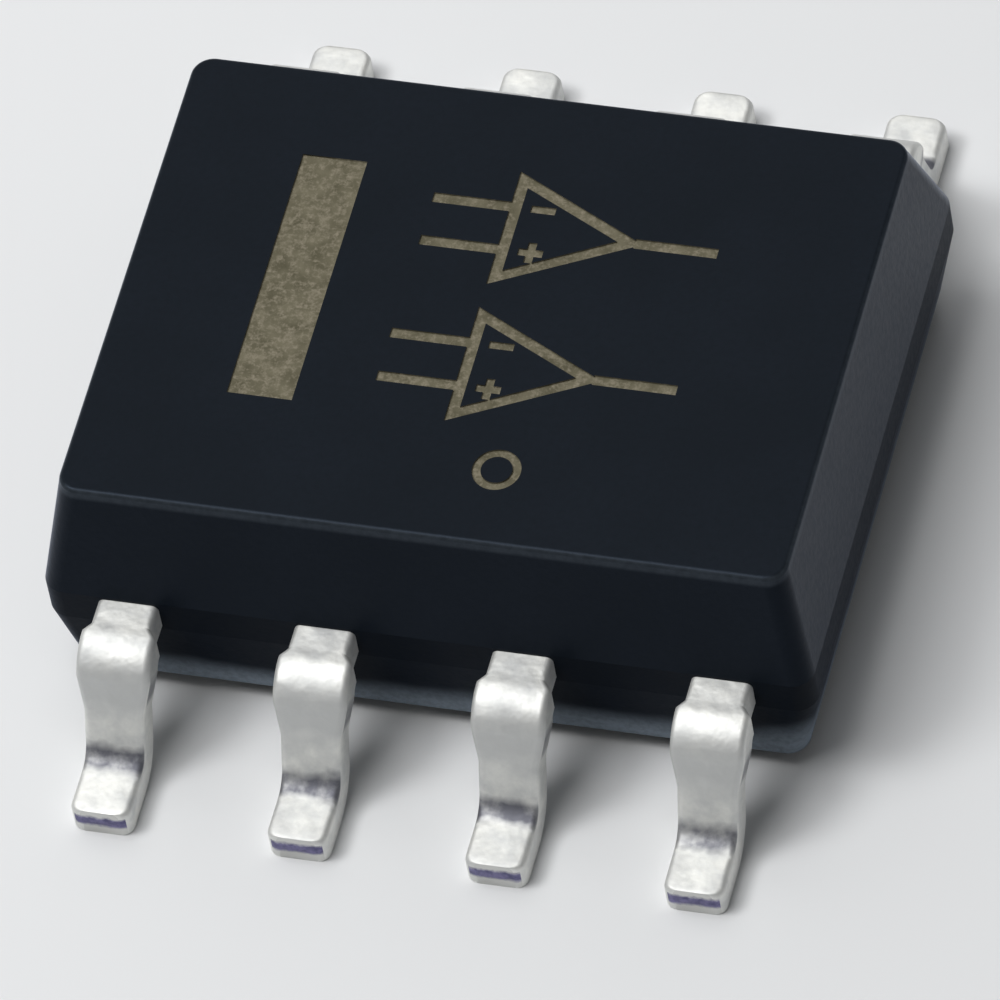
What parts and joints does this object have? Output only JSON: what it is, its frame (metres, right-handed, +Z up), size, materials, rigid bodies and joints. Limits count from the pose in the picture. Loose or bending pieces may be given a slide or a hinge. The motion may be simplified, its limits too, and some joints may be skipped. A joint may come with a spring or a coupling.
{
  "type": "operational amplifier chip",
  "caption": "Operational amplifier in a small-outline surface-mount package: drafted black body with gull-wing leads along both long sides and a bar that marks the first lead's end.",
  "frame": {"origin": "centre of the footprint, on the board plane that the feet stand on", "axes": "+X along the lead rows, with lead 1 at the -X end of the front row; +Y across the rows towards leads 5 to 8; +Z up out of the marked top face"},
  "size_m": [0.005, 0.0062, 0.0017],
  "materials": {
    "mold_compound": "matte moulded",
    "tin_plating": "matte tin plated",
    "lead_frame_copper": "bare stamped copper alloy",
    "silver_epoxy": "cured silver-filled paste",
    "silicon": "polished silicon with metal tracks",
    "gold_wire": "drawn gold"
  },
  "bodies": {
    "root": {"molded_body": "mold_compound", "lead_1": "tin_plating", "lead_2": "tin_plating", "lead_3": "tin_plating", "lead_4": "tin_plating", "lead_5": "tin_plating", "lead_6": "tin_plating", "lead_7": "tin_plating", "lead_8": "tin_plating", "die_paddle": "lead_frame_copper", "die_attach": "silver_epoxy", "silicon_die": "silicon", "bond_wire_1": "gold_wire", "bond_wire_2": "gold_wire", "bond_wire_3": "gold_wire", "bond_wire_4": "gold_wire", "bond_wire_5": "gold_wire", "bond_wire_6": "gold_wire", "bond_wire_7": "gold_wire", "bond_wire_8": "gold_wire"}
  },
  "joints": []
}
